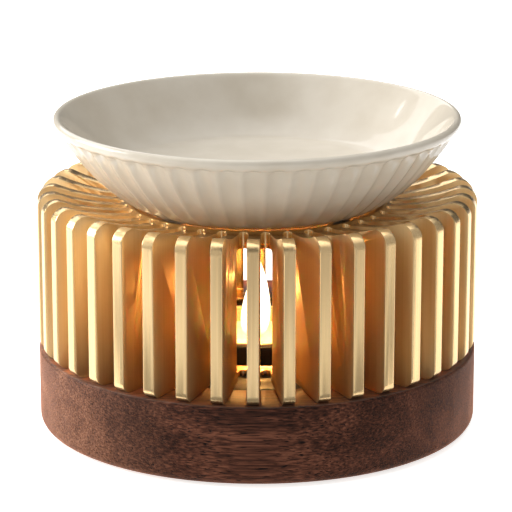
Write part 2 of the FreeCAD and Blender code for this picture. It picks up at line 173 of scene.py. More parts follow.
def new_material(name):
    """A material with an empty tree, its Principled shader and object coordinates."""
    material = bpy.data.materials.new(name)
    material.use_nodes = True
    tree = material.node_tree
    tree.nodes.clear()
    shader = add(tree, "ShaderNodeBsdfPrincipled")
    output = add(tree, "ShaderNodeOutputMaterial")
    tree.links.new(shader.outputs["BSDF"], output.inputs["Surface"])
    place = add(tree, "ShaderNodeTexCoord").outputs["Object"]
    return material, tree, shader, place


# %% [markdown]
# ## Anodised aluminium
#
# The fins are extruded, and the outline is turned on a lathe before the piece is
# blasted fine and anodised a champagne gold. The oxide is clear and thin, so it acts
# as a coloured metal. Light that bounces from fin to fin is coloured again each time,
# which is why the gaps look orange while the front edges stay pale. The die leaves
# faint upright lines, drawn here at 0.45 mm because finer ones would not show. They
# spread each reflection sideways, so the metal looks satin and not like a mirror. The
# fins' turned edges and tops are smoother than their drawn sides, so a dark line shows
# along each top round. A face counts as turned where it looks outward or up.

# %% Champagne anodised aluminium
EXTRUSION_LINE = 0.45 * MM
EXTRUSION_LENGTH = 60 * MM
EXTRUSION_DEPTH = 0.02 * MM
OXIDE_TINTS = [(0.3, "#E7C48E"), (0.7, "#F0D09C")]
LINE_SPAN = (0.3, 0.7)
DRAWN_ROUGHNESS = (0.48, 0.6)
TURNED_ROUGHNESS = 0.27
TURNED_FACING = (0.4, 0.6)


def turned_share(tree, place):
    """1 on faces that look outward or up, which the lathe cut, and 0 on the fins' sides."""
    flat = add(tree, "ShaderNodeVectorMath", {0: place, 1: (1, 1, 0)}, operation="MULTIPLY")
    outward = add(tree, "ShaderNodeVectorMath", {0: flat.outputs["Vector"]}, operation="NORMALIZE")
    normal = add(tree, "ShaderNodeNewGeometry").outputs["True Normal"]
    facing = []
    for way in (outward.outputs["Vector"], (0, 0, 1)):
        toward = add(tree, "ShaderNodeVectorMath", {0: normal, 1: way}, operation="DOT_PRODUCT")
        facing.append(add(tree, "ShaderNodeMath", {0: toward.outputs["Value"]}, operation="ABSOLUTE"))
    nearest = add(tree, "ShaderNodeMath", {
        0: facing[0].outputs["Value"], 1: facing[1].outputs["Value"]}, operation="MAXIMUM")
    share = add(tree, "ShaderNodeMapRange", {
        "Value": nearest.outputs["Value"],
        "From Min": TURNED_FACING[0], "From Max": TURNED_FACING[1]})
    return share.outputs["Result"]


def champagne_aluminium():
    """A gold metal with the die's upright lines in its tint, its relief and its shine."""
    material, tree, shader, place = new_material("champagne_anodised_aluminium")
    upright = add(tree, "ShaderNodeMapping", {
        "Vector": place, "Scale": pattern_scale(EXTRUSION_LINE, EXTRUSION_LINE, EXTRUSION_LENGTH)})
    lines = add(tree, "ShaderNodeTexNoise", {
        "Vector": upright.outputs["Vector"], "Scale": 1.0, "Detail": 3.0})
    tint = add(tree, "ShaderNodeValToRGB", {"Fac": lines.outputs["Fac"]})
    ramp_stops(tint, OXIDE_TINTS)
    drawn = add(tree, "ShaderNodeMapRange", {
        "Value": lines.outputs["Fac"], "From Min": LINE_SPAN[0], "From Max": LINE_SPAN[1],
        "To Min": DRAWN_ROUGHNESS[0], "To Max": DRAWN_ROUGHNESS[1]})
    rough = add(tree, "ShaderNodeMapRange", {
        "Value": turned_share(tree, place), "To Min": drawn.outputs["Result"],
        "To Max": TURNED_ROUGHNESS})
    relief = add(tree, "ShaderNodeBump", {
        "Height": lines.outputs["Fac"], "Distance": EXTRUSION_DEPTH, "Strength": 1.0})
    fill(tree, shader, {
        "Base Color": tint.outputs["Color"], "Metallic": 1.0,
        "Roughness": rough.outputs["Result"], "Normal": relief.outputs["Normal"]})
    return material


# %% [markdown]
# ## Oiled walnut
#
# The base is turned from one board with its grain running left to right. Walnut has
# broad darker and lighter bands, fine fibres and short open pores. Three noise
# patterns stretched along the grain give them, at 9 mm, 0.5 mm and 0.35 mm. Oil
# darkens the wood and leaves a satin surface with the pores still open. Towards the
# left end the colour is painted paler and pinker, as a painted highlight for the light
# that falls from the left. The flat top is burnished, so the light of the flame shines
# on it in front of the fins.

# %% Oiled walnut
# Each pattern's length along the grain, width across it, detail and wander
WOOD_PATTERNS = {
    "bands": (160 * MM, 9 * MM, 3.0, 0.6),
    "fibres": (14 * MM, 0.5 * MM, 4.0, 0.0),
    "pores": (5 * MM, 0.35 * MM, 1.0, 0.0),
}
FIBRE_SHARE = 0.6
HEARTWOOD_TINTS = [(0.36, "#25110A"), (0.46, "#402216"), (0.54, "#573122"), (0.66, "#7C4B36")]
# Painted highlight: paler, pinker tints that stand in for the light falling on the left end
PAINTED_HIGHLIGHT_TINTS = [(0.36, "#553426"), (0.46, "#7A503C"), (0.54, "#97674D"), (0.66, "#B88667")]
# Where along X the painted highlight starts and where it is full
PAINTED_HIGHLIGHT_FROM = -20 * MM
PAINTED_HIGHLIGHT_FULL = -62 * MM
PORE_TINT = "#1C0D08"
PORE_SPAN = (0.58, 0.68)
PORE_DEPTH = 0.12 * MM
OIL_ROUGHNESS = (0.42, 0.58)
OIL_SHINE = 0.1
BURNISHED_SHINE = 0.9
BURNISHED_FACING = (0.7, 0.95)


def wood_pattern(tree, place, name):
    """One of walnut's three patterns, as a value from 0 to 1."""
    length, width, detail, wander = WOOD_PATTERNS[name]
    laid = add(tree, "ShaderNodeMapping", {
        "Vector": place, "Scale": pattern_scale(length, width, width)})
    pattern = add(tree, "ShaderNodeTexNoise", {
        "Vector": laid.outputs["Vector"], "Scale": 1.0, "Detail": detail, "Distortion": wander})
    return pattern.outputs["Fac"]


def oiled_walnut():
    """Bands, fibres and open pores along X, with a painted highlight at the left, burnished on top."""
    material, tree, shader, place = new_material("oiled_walnut")
    fibres = wood_pattern(tree, place, "fibres")
    figure = add(tree, "ShaderNodeMix", {
        "Factor": FIBRE_SHARE, "A": wood_pattern(tree, place, "bands"), "B": fibres})
    heartwood = add(tree, "ShaderNodeValToRGB", {"Fac": figure.outputs["Result"]})
    ramp_stops(heartwood, HEARTWOOD_TINTS)
    # The wood's tints made paler, as a painted highlight for the light from the left
    painted_highlight = add(tree, "ShaderNodeValToRGB", {"Fac": figure.outputs["Result"]})
    ramp_stops(painted_highlight, PAINTED_HIGHLIGHT_TINTS)
    across = add(tree, "ShaderNodeSeparateXYZ", {"Vector": place})
    # How far towards the left end the painted highlight is laid over the wood
    left = add(tree, "ShaderNodeMapRange", {
        "Value": across.outputs["X"], "From Min": PAINTED_HIGHLIGHT_FROM, "From Max": PAINTED_HIGHLIGHT_FULL})
    board = add(tree, "ShaderNodeMix", {
        MIX_FACTOR: left.outputs["Result"], MIX_A: heartwood.outputs["Color"],
        MIX_B: painted_highlight.outputs["Color"]}, data_type="RGBA")
    open_pore = add(tree, "ShaderNodeMapRange", {
        "Value": wood_pattern(tree, place, "pores"),
        "From Min": PORE_SPAN[0], "From Max": PORE_SPAN[1]})
    pored = add(tree, "ShaderNodeMix", {
        MIX_FACTOR: open_pore.outputs["Result"], MIX_A: board.outputs[MIX_RESULT],
        MIX_B: colour(PORE_TINT)}, data_type="RGBA")
    rough = add(tree, "ShaderNodeMapRange", {
        "Value": fibres, "To Min": OIL_ROUGHNESS[0], "To Max": OIL_ROUGHNESS[1]})
    facing = add(tree, "ShaderNodeSeparateXYZ", {
        "Vector": add(tree, "ShaderNodeNewGeometry").outputs["True Normal"]})
    shine = add(tree, "ShaderNodeMapRange", {
        "Value": facing.outputs["Z"],
        "From Min": BURNISHED_FACING[0], "From Max": BURNISHED_FACING[1],
        "To Min": OIL_SHINE, "To Max": BURNISHED_SHINE})
    closed = add(tree, "ShaderNodeMath", {0: 1.0, 1: open_pore.outputs["Result"]}, operation="SUBTRACT")
    relief = add(tree, "ShaderNodeBump", {
        "Height": closed.outputs["Value"], "Distance": PORE_DEPTH, "Strength": 1.0})
    fill(tree, shader, {
        "Base Color": pored.outputs[MIX_RESULT], "Roughness": rough.outputs["Result"],
        "Specular IOR Level": shine.outputs["Result"], "Sheen Weight": 0.8,
        "Sheen Roughness": 0.3, "Sheen Tint": colour("#E08A58"),
        "Normal": relief.outputs["Normal"]})
    return material


# %% [markdown]
# ## Glazed stoneware
#
# The dish is cast stoneware under a cream gloss glaze. A glaze is glass: it has a sharp
# reflection over a soft, slightly uneven body colour, and it is level but not perfectly
# flat. Noise at 9 mm varies the colour, and noise at 5 mm makes the reflections wander.

# %% Cream glaze
GLAZE_CLOUD = 9 * MM
GLAZE_WAVE = 5 * MM
GLAZE_WAVE_DEPTH = 0.008 * MM
GLAZE_TINTS = [(0.35, "#CFC5B4"), (0.65, "#D5CCBC")]


def cream_glaze():
    """A glass coat over a softly clouded cream, with waves too low to see by shape."""
    material, tree, shader, place = new_material("cream_glazed_stoneware")
    cloudy = add(tree, "ShaderNodeMapping", {
        "Vector": place, "Scale": pattern_scale(GLAZE_CLOUD, GLAZE_CLOUD, GLAZE_CLOUD)})
    clouds = add(tree, "ShaderNodeTexNoise", {
        "Vector": cloudy.outputs["Vector"], "Scale": 1.0, "Detail": 3.0})
    tint = add(tree, "ShaderNodeValToRGB", {"Fac": clouds.outputs["Fac"]})
    ramp_stops(tint, GLAZE_TINTS)
    wavy = add(tree, "ShaderNodeMapping", {
        "Vector": place, "Scale": pattern_scale(GLAZE_WAVE, GLAZE_WAVE, GLAZE_WAVE)})
    waves = add(tree, "ShaderNodeTexNoise", {
        "Vector": wavy.outputs["Vector"], "Scale": 1.0, "Detail": 1.0})
    relief = add(tree, "ShaderNodeBump", {
        "Height": waves.outputs["Fac"], "Distance": GLAZE_WAVE_DEPTH, "Strength": 1.0})
    fill(tree, shader, {
        "Base Color": tint.outputs["Color"], "Roughness": 0.08, "IOR": 1.52,
        "Normal": relief.outputs["Normal"]})
    return material


# %% [markdown]
# ## The other finishes
#
# The cup and the shield are sheet steel with a fine black powder coat, whose orange
# peel is about 0.6 mm. The tealight's shell is deep-drawn aluminium foil with faint
# drawing marks. Paraffin wax lets light in a little way, so it gets subsurface light.
# The wick is braided cotton, white in the wax and charred at its tip. The screws are
# zinc plated or plain steel, and the pad is matt rubber.

# %% Smaller finishes
ORANGE_PEEL = 0.6 * MM
ORANGE_PEEL_DEPTH = 0.02 * MM
DRAW_MARK = 0.4 * MM
DRAW_MARK_LENGTH = 12 * MM
DRAW_MARK_DEPTH = 0.02 * MM
WAX_CLOUD = 3 * MM
WAX_DEPTH = 0.05 * MM
WAX_LIGHT_REACH = 4 * MM
COTTON_YARN = 0.45 * MM
COTTON_DEPTH = 0.1 * MM
CHAR_SHARES = (0.62, 0.8)
RUBBER_GRAIN = 0.5 * MM
RUBBER_DEPTH = 0.04 * MM
TOOL_MARK = 0.3 * MM
TOOL_MARK_LENGTH = 2.4 * MM
TOOL_MARK_DEPTH = 0.01 * MM
TINT_SPAN = (0.35, 0.65)


def plain_finish(name, codes, grain, depth, inputs):
    """A finish with one grain that varies the colour and the relief together."""
    material, tree, shader, place = new_material(name)
    laid = add(tree, "ShaderNodeMapping", {"Vector": place, "Scale": pattern_scale(*grain)})
    pattern = add(tree, "ShaderNodeTexNoise", {
        "Vector": laid.outputs["Vector"], "Scale": 1.0, "Detail": 2.0})
    tint = add(tree, "ShaderNodeValToRGB", {"Fac": pattern.outputs["Fac"]})
    ramp_stops(tint, list(zip(TINT_SPAN, codes)))
    relief = add(tree, "ShaderNodeBump", {
        "Height": pattern.outputs["Fac"], "Distance": depth, "Strength": 1.0})
    fill(tree, shader, {
        **inputs, "Base Color": tint.outputs["Color"], "Normal": relief.outputs["Normal"]})
    return material


def charred_wick():
    """Cotton yarn that is white in the wax and charred from part way up."""
    material, tree, shader, place = new_material("charred_cotton_wick")
    low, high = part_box("tealight_wick")
    height = add(tree, "ShaderNodeSeparateXYZ", {"Vector": place})
    burnt = add(tree, "ShaderNodeMapRange", {
        "Value": height.outputs["Z"], "From Min": low.z + CHAR_SHARES[0] * (high.z - low.z),
        "From Max": low.z + CHAR_SHARES[1] * (high.z - low.z)})
    tint = add(tree, "ShaderNodeMix", {
        MIX_FACTOR: burnt.outputs["Result"], MIX_A: colour("#E9DFC6"),
        MIX_B: colour("#1B1512")}, data_type="RGBA")
    laid = add(tree, "ShaderNodeMapping", {
        "Vector": place, "Scale": pattern_scale(COTTON_YARN, COTTON_YARN, COTTON_YARN)})
    yarn = add(tree, "ShaderNodeTexNoise", {"Vector": laid.outputs["Vector"], "Scale": 1.0})
    relief = add(tree, "ShaderNodeBump", {
        "Height": yarn.outputs["Fac"], "Distance": COTTON_DEPTH, "Strength": 1.0})
    fill(tree, shader, {
        "Base Color": tint.outputs[MIX_RESULT], "Roughness": 0.95,
        "Normal": relief.outputs["Normal"]})
    return material


FINISH = {
    "fin_aluminium": champagne_aluminium(),
    "walnut": oiled_walnut(),
    "glaze": cream_glaze(),
    "wick": charred_wick(),
    "black_steel": plain_finish(
        "black_powder_coated_steel", ("#141312", "#1C1A18"),
        (ORANGE_PEEL, ORANGE_PEEL, ORANGE_PEEL), ORANGE_PEEL_DEPTH, {"Roughness": 0.42}),
    "foil": plain_finish(
        "drawn_aluminium_foil", ("#B4A993", "#C6BCA8"),
        (DRAW_MARK, DRAW_MARK, DRAW_MARK_LENGTH), DRAW_MARK_DEPTH,
        {"Metallic": 1.0, "Roughness": 0.42}),
    "wax": plain_finish(
        "paraffin_wax", ("#EFE7D3", "#F7F1E2"), (WAX_CLOUD, WAX_CLOUD, WAX_CLOUD), WAX_DEPTH,
        {"Roughness": 0.32, "Subsurface Weight": 0.6, "Subsurface Scale": WAX_LIGHT_REACH}),
    "pad": plain_finish(
        "matt_rubber", ("#171615", "#201F1D"), (RUBBER_GRAIN, RUBBER_GRAIN, RUBBER_GRAIN),
        RUBBER_DEPTH, {"Roughness": 0.85}),
    "zinc_screw": plain_finish(
        "zinc_plated_steel", ("#B9B6A8", "#CCC9BC"), (TOOL_MARK, TOOL_MARK, TOOL_MARK),
        TOOL_MARK_DEPTH, {"Metallic": 1.0, "Roughness": 0.36}),
    "steel_screw": plain_finish(
        "plain_machined_steel", ("#A8A6A3", "#BCBAB7"), (TOOL_MARK, TOOL_MARK, TOOL_MARK_LENGTH),
        TOOL_MARK_DEPTH, {"Metallic": 1.0, "Roughness": 0.34}),
}
print("finishes:", ", ".join(material.name for material in FINISH.values()))

# %% [markdown]
# ## Choosing, drawing and turning
#
# Operators act on whatever is selected, so each step first deselects everything and
# then picks points by where they are. A turned piece starts as one point, is extruded
# into its outline and is spun about the axis, as on a potter's wheel or a lathe.


# %% Helpers for choosing, drawing and turning
MERGE_DISTANCE = 0.002 * MM
NEAR = 0.01 * MM


def only(piece):
    """Leaves edit mode and makes one piece the only selected, active one."""
    if bpy.context.mode != "OBJECT":
        bpy.ops.object.mode_set(mode="OBJECT")
    bpy.ops.object.select_all(action="DESELECT")
    piece.select_set(True)
    bpy.context.view_layer.objects.active = piece
    return piece


def pick(piece, wanted):
    """In edit mode, selects just the points whose place passes a test."""
    bpy.ops.mesh.select_mode(type="VERT")
    bpy.ops.mesh.select_all(action="DESELECT")
    shape = bmesh.from_edit_mesh(piece.data)
    for point in shape.verts:
        point.select_set(bool(wanted(point.co)))
    shape.select_flush_mode()
    bmesh.update_edit_mesh(piece.data)


def start_point(name):
    """A new piece in edit mode that is only one point, at the origin."""
    bpy.ops.object.select_all(action="DESELECT")
    bpy.ops.mesh.primitive_plane_add(size=MM)
    piece = bpy.context.active_object
    piece.name = piece.data.name = name
    bpy.ops.object.mode_set(mode="EDIT")
    bpy.ops.mesh.select_all(action="SELECT")
    bpy.ops.mesh.merge(type="CENTER")
    bpy.ops.mesh.select_mode(type="VERT")
    bpy.ops.mesh.select_all(action="SELECT")
    return piece


def draw(places):
    """Extrudes the one selected point through each place in turn."""
    bpy.ops.transform.translate(value=places[0])
    for here, there in zip(places, places[1:]):
        bpy.ops.mesh.extrude_region_move(TRANSFORM_OT_translate={"value": there - here})


def close_up():
    """Merges what meets, closes the faces and turns them all outward."""
    bpy.ops.mesh.select_all(action="SELECT")
    bpy.ops.mesh.remove_doubles(threshold=MERGE_DISTANCE)
    bpy.ops.mesh.normals_make_consistent(inside=False)


def smooth_by(piece, degrees):
    """Shades the piece smooth except where faces meet at more than an angle."""
    only(piece)
    bpy.ops.object.shade_smooth_by_angle(angle=math.radians(degrees))


def settle(piece, body, slot, *nodes):
    """Gives a piece its finish, its body and the parts that it stands for."""
    only(piece)
    piece.data.materials.clear()
    piece.data.materials.append(FINISH[slot])
    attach(piece, body)
    if nodes:
        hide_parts(*nodes)
    faces = len(piece.data.polygons)
    print(piece.name + ":", faces, "faces in", FINISH[slot].name, "on", body)


def arc_points(centre, radius, first, last, steps):
    """Places along an arc in the outline's plane, between two angles in degrees."""
    places = []
    for step in range(steps + 1):
        angle = math.radians(first + (last - first) * step / steps)
        places.append((centre[0] + radius * math.cos(angle), centre[1] + radius * math.sin(angle)))
    return places


def curve_points(start, first_pull, last_pull, end, shares):
    """Places along a smooth curve that leaves and arrives by way of two pulls."""
    places = []
    for t in shares:
        weights = ((1 - t) ** 3, 3 * t * (1 - t) ** 2, 3 * t * t * (1 - t), t ** 3)
        places.append(tuple(sum(weight * point[axis] for weight, point in
                                zip(weights, (start, first_pull, last_pull, end)))
                            for axis in (0, 1)))
    return places


def along(point, degrees, length):
    """The place that lies a length away from a point, at an angle above outward."""
    angle = math.radians(degrees)
    return (point[0] + length * math.cos(angle), point[1] + length * math.sin(angle))


def at_angle(place, angle):
    """Stands a place of the outline, as radius and height, at an angle about the axis."""
    return Vector((place[0] * math.cos(angle), place[0] * math.sin(angle), place[1]))


# %% [markdown]
# ## Machined and turned parts
#
# The metal and wooden parts already have their true shapes, but a modelled edge is
# perfectly sharp and a real one never is. Each part is copied, its loose triangles are
# merged, flat faces are joined into one, and a fine bevel breaks the edges, so that
# they catch a thin line of light. The copy then stands for the part.

# %% Parts with broken edges
FLAT_ANGLE = math.radians(0.6)
EDGE_ANGLE = math.radians(35)


def dress(node, body, slot, edge, rounds=2, shading=35):
    """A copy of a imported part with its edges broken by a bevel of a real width."""
    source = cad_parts[node]
    only(source)
    bpy.ops.object.duplicate()
    piece = bpy.context.active_object
    for key in list(piece.keys()):
        del piece[key]
    piece.parent = None
    piece.name = piece.data.name = node + "_finished"
    bpy.ops.object.mode_set(mode="EDIT")
    bpy.ops.mesh.select_all(action="SELECT")
    bpy.ops.mesh.remove_doubles(threshold=MERGE_DISTANCE)
    bpy.ops.mesh.dissolve_limited(angle_limit=FLAT_ANGLE)
    bpy.ops.object.mode_set(mode="OBJECT")
    bevel = piece.modifiers.new("broken_edges", "BEVEL")
    bevel.width = edge
    bevel.segments = rounds
    bevel.limit_method = "ANGLE"
    bevel.angle_limit = EDGE_ANGLE
    bevel.use_clamp_overlap = True
    bevel.harden_normals = True
    bpy.ops.object.modifier_apply(modifier=bevel.name)
    smooth_by(piece, shading)
    settle(piece, body, slot, node)
    return piece


# Each part's body, finish and width of its broken edges
EDGES = {
    "wood_base": ("base", "walnut", 0.3 * MM),
    "base_pad": ("base", "pad", 0.3 * MM),
    "heat_shield": ("base", "black_steel", 0.15 * MM),
    "candle_cup": ("base", "black_steel", 0.12 * MM),
    "cup_screw": ("base", "zinc_screw", 0.08 * MM),
    "body_screws": ("base", "steel_screw", 0.12 * MM),
    "body_washers": ("base", "steel_screw", 0.08 * MM),
    "body_spacers": ("base", "steel_screw", 0.15 * MM),
    "fin_ring": ("base", "fin_aluminium", 0.25 * MM),
    "tealight_shell": ("tealight", "foil", 0.06 * MM),
    "wick_tab": ("tealight", "zinc_screw", 0.05 * MM),
}
for node, (body, slot, edge) in EDGES.items():
    dress(node, body, slot, edge)

# %% [markdown]
# ## The ribbed dish
#
# On the wheel the dish is a bowl with a foot ring, a flaring wall and a thick rounded
# lip. Its outside has shallow coves side by side that end in small arches under a plain
# band. One cove's width is a wedge of the bowl: the outline is spun through that wedge,
# the points between its edges are drawn in towards the axis, and the wedge is then
# spun as copies all the way round and merged.

# %% The dish's outline
dish_low, dish_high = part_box("wax_dish")
DISH_TOP = dish_high.z
DISH_RADIUS = dish_high.x
FOOT_RADIUS = 31.7 * MM
FOOT_BOTTOM = dish_low.z
FOOT_WIDTH = 3.2 * MM
FOOT_ROUND = 0.6 * MM
FOOT_HOLLOW = 4.8 * MM
FOOT_OUTER_END = 345
ROUND_STEPS = 4
WALL_LOW_ANGLE = 15.6
WALL_LOW_PULL = 9.1 * MM
WALL_HIGH_ANGLE = 60.5
WALL_HIGH_PULL = 8.2 * MM
WALL_ROWS = 34
WALL_CROWDING = 1.5
BAND_HEIGHT = 3.4 * MM
BAND_REACH = 1.55 * MM
BAND_BULGE = 0.25 * MM
BAND_STEPS = 8
LIP_ROUND = 1.2 * MM
LIP_END = 140
LIP_STEPS = 10
INSIDE_HIGH_ANGLE = 50
INSIDE_HIGH_PULL = 8.5 * MM
INSIDE_LOW_PULL = 5 * MM
INSIDE_STEPS = 24
FLOOR_THICKNESS = 4.6 * MM
FLOOR_REACH = 5.8 * MM
FLOOR_RING_SHARES = (0.8, 0.55, 0.3, 0.1, 0)


def dish_wall():
    """The outside wall from the foot up to the band, with rows closer near the top."""
    low = (FOOT_RADIUS, FOOT_BOTTOM + FOOT_ROUND)
    high = (DISH_RADIUS - BAND_REACH, DISH_TOP - BAND_HEIGHT)
    shares = [1 - (1 - row / WALL_ROWS) ** WALL_CROWDING for row in range(WALL_ROWS + 1)]
    return curve_points(low, along(low, WALL_LOW_ANGLE, WALL_LOW_PULL),
                        along(high, WALL_HIGH_ANGLE + 180, WALL_HIGH_PULL), high, shares)


def dish_band(wall_end):
    """The band from the wall's top to the lip: a shallow arc that bulges outward."""
    lip_start = (DISH_RADIUS, DISH_TOP - LIP_ROUND)
    reach, rise = lip_start[0] - wall_end[0], lip_start[1] - wall_end[1]
    length = math.hypot(reach, rise)
    places = []
    for step in range(1, BAND_STEPS):
        share = step / BAND_STEPS
        out = 4 * BAND_BULGE * share * (1 - share)
        places.append((wall_end[0] + reach * share + out * rise / length,
                       wall_end[1] + rise * share - out * reach / length))
    return places


def dish_foot(ceiling):
    """The underside from the axis out: a flat ceiling and the foot ring's three rounds."""
    inner = FOOT_RADIUS - FOOT_WIDTH
    rounds = (((inner - 2 * FOOT_ROUND, ceiling - FOOT_ROUND), 90, 0),
              ((inner + FOOT_ROUND, FOOT_BOTTOM + FOOT_ROUND), 180, 270),
              ((FOOT_RADIUS - FOOT_ROUND, FOOT_BOTTOM + FOOT_ROUND), 270, FOOT_OUTER_END))
    places = [(0, ceiling), (inner / 2, ceiling)]
    for centre, first, last in rounds:
        places += arc_points(centre, FOOT_ROUND, first, last, ROUND_STEPS)
    return places


def dish_outline():
    """The section of the bowl, from the axis underneath round to the axis inside."""
    ceiling = FOOT_BOTTOM + FOOT_HOLLOW
    floor = ceiling + FLOOR_THICKNESS
    wall = dish_wall()
    lip_centre = (DISH_RADIUS - LIP_ROUND, DISH_TOP - LIP_ROUND)
    lip = arc_points(lip_centre, LIP_ROUND, 0, LIP_END, LIP_STEPS)
    floor_edge = (FOOT_RADIUS + FLOOR_REACH, floor)
    shares = [1 - step / INSIDE_STEPS for step in range(1, INSIDE_STEPS + 1)]
    inside = curve_points(floor_edge, along(floor_edge, 0, INSIDE_LOW_PULL),
                          along(lip[-1], INSIDE_HIGH_ANGLE + 180, INSIDE_HIGH_PULL), lip[-1], shares)
    rings = [(floor_edge[0] * share, floor) for share in FLOOR_RING_SHARES]
    return dish_foot(ceiling) + wall + dish_band(wall[-1]) + lip + inside + rings, wall


outline_points, wall_points = dish_outline()
print("dish outline:", len(outline_points), "points, of which", len(wall_points), "on the wall")

# %% [markdown]
# ## Coves
#
# A cove is deepest on its middle line and fades out to both edges, so that sharp ridges
# stay between the coves. It starts shallow at the foot and ends in a soft arch under
# the band. How far a point moves in is worked out from where it is on the wall.

# %% The dish's coves
COVE_COUNT = 52
COVE_STEPS = 8
COVE_DEPTH_SHARE = 0.016
COVE_FOOT_SHARE = 0.25
COVE_END_RUN = 0.8 * MM
ARCH_OVER_WALL = 0.9 * MM


def cove_depth(across, share, height):
    """How deep a cove is, as a share of the radius, across it and up its wall."""
    half_width = math.pi * (DISH_RADIUS - BAND_REACH) / COVE_COUNT
    arch_drop = half_width * (1 - math.sqrt(1 - across ** 2))
    arch_top = DISH_TOP - BAND_HEIGHT + ARCH_OVER_WALL - arch_drop
    at_foot = min(1, share / COVE_FOOT_SHARE)
    at_top = min(1, max(0, (arch_top - height) / COVE_END_RUN))
    soft_top = at_top * at_top * (3 - 2 * at_top)
    return COVE_DEPTH_SHARE * (1 - across ** 2) * at_foot * soft_top


def make_dish():
    """Spins one wedge of the bowl, draws its cove in and spins copies all the way round."""
    wedge = TURN / COVE_COUNT
    # The spin operator turns clockwise as seen from above
    first_edge = -TURN / 4 + wedge / 2
    piece = start_point("ribbed_dish")
    draw([at_angle(place, first_edge) for place in outline_points])
    bpy.ops.mesh.select_all(action="SELECT")
    bpy.ops.mesh.spin(steps=COVE_STEPS, angle=wedge, center=(0, 0, 0), axis=(0, 0, 1))
    for step in range(1, COVE_STEPS):
        across = 2 * step / COVE_STEPS - 1
        column = first_edge - wedge * step / COVE_STEPS
        for row, place in enumerate(wall_points + dish_band(wall_points[-1])):
            depth = cove_depth(across, row / len(wall_points), place[1])
            if depth:
                spot = at_angle(place, column)
                pick(piece, lambda point: (point - spot).length < NEAR)
                bpy.ops.transform.resize(value=(1 - depth, 1 - depth, 1), center_override=(0, 0, 0))
    bpy.ops.mesh.select_all(action="SELECT")
    bpy.ops.mesh.spin(steps=COVE_COUNT - 1, dupli=True, angle=TURN - wedge,
                      center=(0, 0, 0), axis=(0, 0, 1))
    close_up()
    smooth_by(piece, 60)
    settle(piece, "dish", "glaze", "wax_dish")


make_dish()

# %% [markdown]
# ## Wax and wick
#
# Around a burning wick the wax melts into a shallow, level pool, and at the foil it
# climbs a little as a meniscus. Both are drawn into the outline that is spun. The wick
# is a short cylinder with a few rings, leaned over ring by ring as a burnt wick leans.

# %% Wax
wax_low, wax_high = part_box("tealight_wax")
wick_low, wick_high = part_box("tealight_wick")
WAX_STEPS = 72
WAX_CORNER = 0.4 * MM
POOL_DEPTH = 0.8 * MM
POOL_RING_SHARES = (0.7, 0.4)
MENISCUS = 0.7 * MM
MENISCUS_CREEP = 0.1 * MM
MENISCUS_STEPS = 8
WICK_GAP = 0.05 * MM
# The wax climbs the wick in two steps, at shares of the hole's radius
WICK_CLIMB = ((2, 0), (1.3, 0.1 * MM), (1, 0.35 * MM))


def make_wax():
    """A puck with a hole for the wick, a level pool and a meniscus at the foil."""
    edge, bottom, top = wax_high.x, wax_low.z, wax_high.z
    pool = top - POOL_DEPTH
    hole = wick_high.x + WICK_GAP
    outline = [(hole, bottom), (edge - WAX_CORNER, bottom), (edge, bottom + WAX_CORNER)]
    for step in range(MENISCUS_STEPS + 1):
        angle = TURN / 4 * step / MENISCUS_STEPS
        outline.append((edge - MENISCUS * (1 - math.cos(angle)) - MENISCUS_CREEP * angle,
                        top - (top - pool) * math.sin(angle)))
    outline += [(edge * share, pool) for share in POOL_RING_SHARES]
    outline += [(hole * share, pool + climb) for share, climb in WICK_CLIMB]
    piece = start_point("wax_pool")
    draw([at_angle(place, 0) for place in outline + outline[:1]])
    bpy.ops.mesh.select_all(action="SELECT")
    bpy.ops.mesh.spin(steps=WAX_STEPS, angle=TURN, center=(0, 0, 0), axis=(0, 0, 1))
    close_up()
    smooth_by(piece, 50)
    settle(piece, "tealight", "wax", "tealight_wax")


make_wax()

# %% Wick
WICK_STEPS = 16
WICK_RINGS = 10
WICK_LEAN = 0.2 * MM
WICK_SLIMMING = 0.25
WICK_END_ROUNDS = 3


def make_wick():
    """A cylinder cut into rings, whose upper half gets slimmer and leans over."""
    radius, height = wick_high.x, wick_high.z - wick_low.z
    bpy.ops.object.select_all(action="DESELECT")
    bpy.ops.mesh.primitive_cylinder_add(vertices=WICK_STEPS, radius=radius, depth=height)
    piece = bpy.context.active_object
    piece.name = piece.data.name = "burnt_wick"
    bpy.ops.object.mode_set(mode="EDIT")
    bpy.ops.mesh.select_all(action="SELECT")
    bpy.ops.transform.translate(value=(0, 0, (wick_low.z + wick_high.z) / 2))
    levels = [wick_low.z + height * ring / WICK_RINGS for ring in range(WICK_RINGS + 1)]
    for level in levels[1:-1]:
        bpy.ops.mesh.select_all(action="SELECT")
        bpy.ops.mesh.bisect(plane_co=(0, 0, level), plane_no=(0, 0, 1))
    for ring in range(WICK_RINGS // 2, WICK_RINGS + 1):
        share = (ring / WICK_RINGS - 0.5) * 2
        slim = 1 - WICK_SLIMMING * share ** 3
        pick(piece, lambda point: abs(point.z - levels[ring]) < NEAR)
        bpy.ops.transform.resize(value=(slim, slim, 1), center_override=(0, 0, levels[ring]))
        bpy.ops.transform.translate(value=(WICK_LEAN * share ** 2, 0, 0))
    close_up()
    only(piece)
    bevel = piece.modifiers.new("soft_end", "BEVEL")
    bevel.width = radius / WICK_END_ROUNDS
    bevel.segments = WICK_END_ROUNDS
    bevel.angle_limit = math.radians(60)
    bpy.ops.object.modifier_apply(modifier=bevel.name)
    smooth_by(piece, 70)
    settle(piece, "tealight", "wick", "tealight_wick")


make_wick()

# %% [markdown]
# ## The flame
#
# A calm tealight flame is a teardrop about 20 mm tall that starts part way down the
# wick. It is bright enough to look white, so its finish is plain emission, warmer at
# the bottom. The light that it sheds comes from two lamps inside it, which ride with
# the tealight, and the flame itself throws no shadow. The wide lamp shows in the metal
# as a soft highlight, and the small one only lights matt things: the wax, the cup and
# the sills of the windows.

